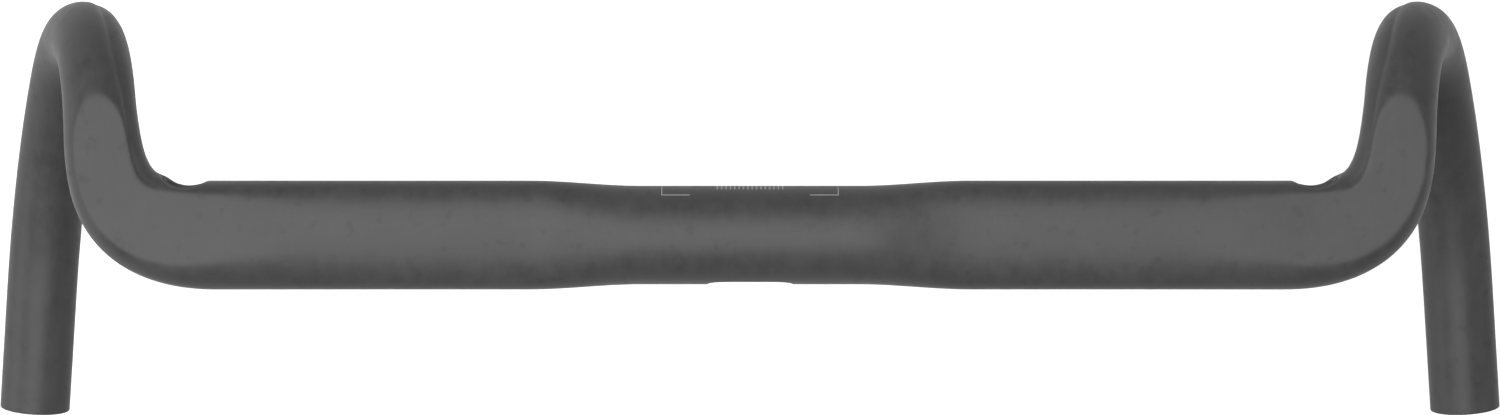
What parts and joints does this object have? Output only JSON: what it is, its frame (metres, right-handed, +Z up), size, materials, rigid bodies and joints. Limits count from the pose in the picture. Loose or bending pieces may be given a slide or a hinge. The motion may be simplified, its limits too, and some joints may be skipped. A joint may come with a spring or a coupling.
{
  "type": "drop handlebar",
  "caption": "Carbon drop handlebar with flattened tops, flared drops, a round clamp zone, internal hose ports and expanding end plugs.",
  "frame": {"origin": "centre of the round clamp zone, on its axis", "axes": "+X to the rider's right along the clamp zone's axis, +Y forward in the riding direction, +Z up"},
  "size_m": [0.5118, 0.1383, 0.1476],
  "materials": {
    "carbon": "satin clear coat over unidirectional carbon laminate, dark neutral grey",
    "laminate": "bare moulded carbon laminate",
    "rim_rubber": "matte black rubber",
    "guide_nylon": "translucent grey nylon tube",
    "plug_nylon": "black moulded nylon",
    "plug_rubber": "black rubber",
    "wedge_aluminium": "turned aluminium",
    "screw_steel": "zinc-plated steel"
  },
  "bodies": {
    "bar": {"top_section": "carbon", "left_drop_section": "carbon", "right_drop_section": "carbon", "left_joint_sleeve": "laminate", "right_joint_sleeve": "laminate", "clamp_ring": "laminate", "left_hose_port_rim": "rim_rubber", "right_hose_port_rim": "rim_rubber", "centre_window_rim": "rim_rubber", "left_hose_guide": "guide_nylon", "right_hose_guide": "guide_nylon"},
    "left_plug": {"left_plug_cap": "plug_nylon", "left_plug_expander": "plug_rubber"},
    "left_screw": {"left_plug_screw": "screw_steel"},
    "left_wedge": {"left_plug_wedge_nut": "wedge_aluminium"},
    "right_plug": {"right_plug_cap": "plug_nylon", "right_plug_expander": "plug_rubber"},
    "right_screw": {"right_plug_screw": "screw_steel"},
    "right_wedge": {"right_plug_wedge_nut": "wedge_aluminium"}
  },
  "joints": [
    {"name": "left_plug_pull", "type": "slide", "parent": "bar", "child": "left_plug", "axis": [-0.0776, -0.9828, -0.1677], "range_m": [0, 0.032]},
    {"name": "left_screw_turn", "type": "hinge", "parent": "left_plug", "child": "left_screw", "pos_m": [-0.24414, -0.05957, -0.12008], "axis": [-0.0776, -0.9828, -0.1677], "range_deg": [0, 1800]},
    {"name": "left_wedge_travel", "type": "slide", "parent": "left_plug", "child": "left_wedge", "axis": [0.0776, 0.9828, 0.1677], "range_m": [0, 0.004]},
    {"name": "right_plug_pull", "type": "slide", "parent": "bar", "child": "right_plug", "axis": [0.0776, -0.9828, -0.1677], "range_m": [0, 0.032]},
    {"name": "right_screw_turn", "type": "hinge", "parent": "right_plug", "child": "right_screw", "pos_m": [0.24414, -0.05957, -0.12008], "axis": [0.0776, -0.9828, -0.1677], "range_deg": [0, 1800]},
    {"name": "right_wedge_travel", "type": "slide", "parent": "right_plug", "child": "right_wedge", "axis": [-0.0776, 0.9828, 0.1677], "range_m": [0, 0.004]}
  ],
  "couplings": [
    {"joint": "left_screw_turn", "follows": "left_wedge_travel", "rad_per_m": 7854},
    {"joint": "right_screw_turn", "follows": "right_wedge_travel", "rad_per_m": 7854}
  ]
}
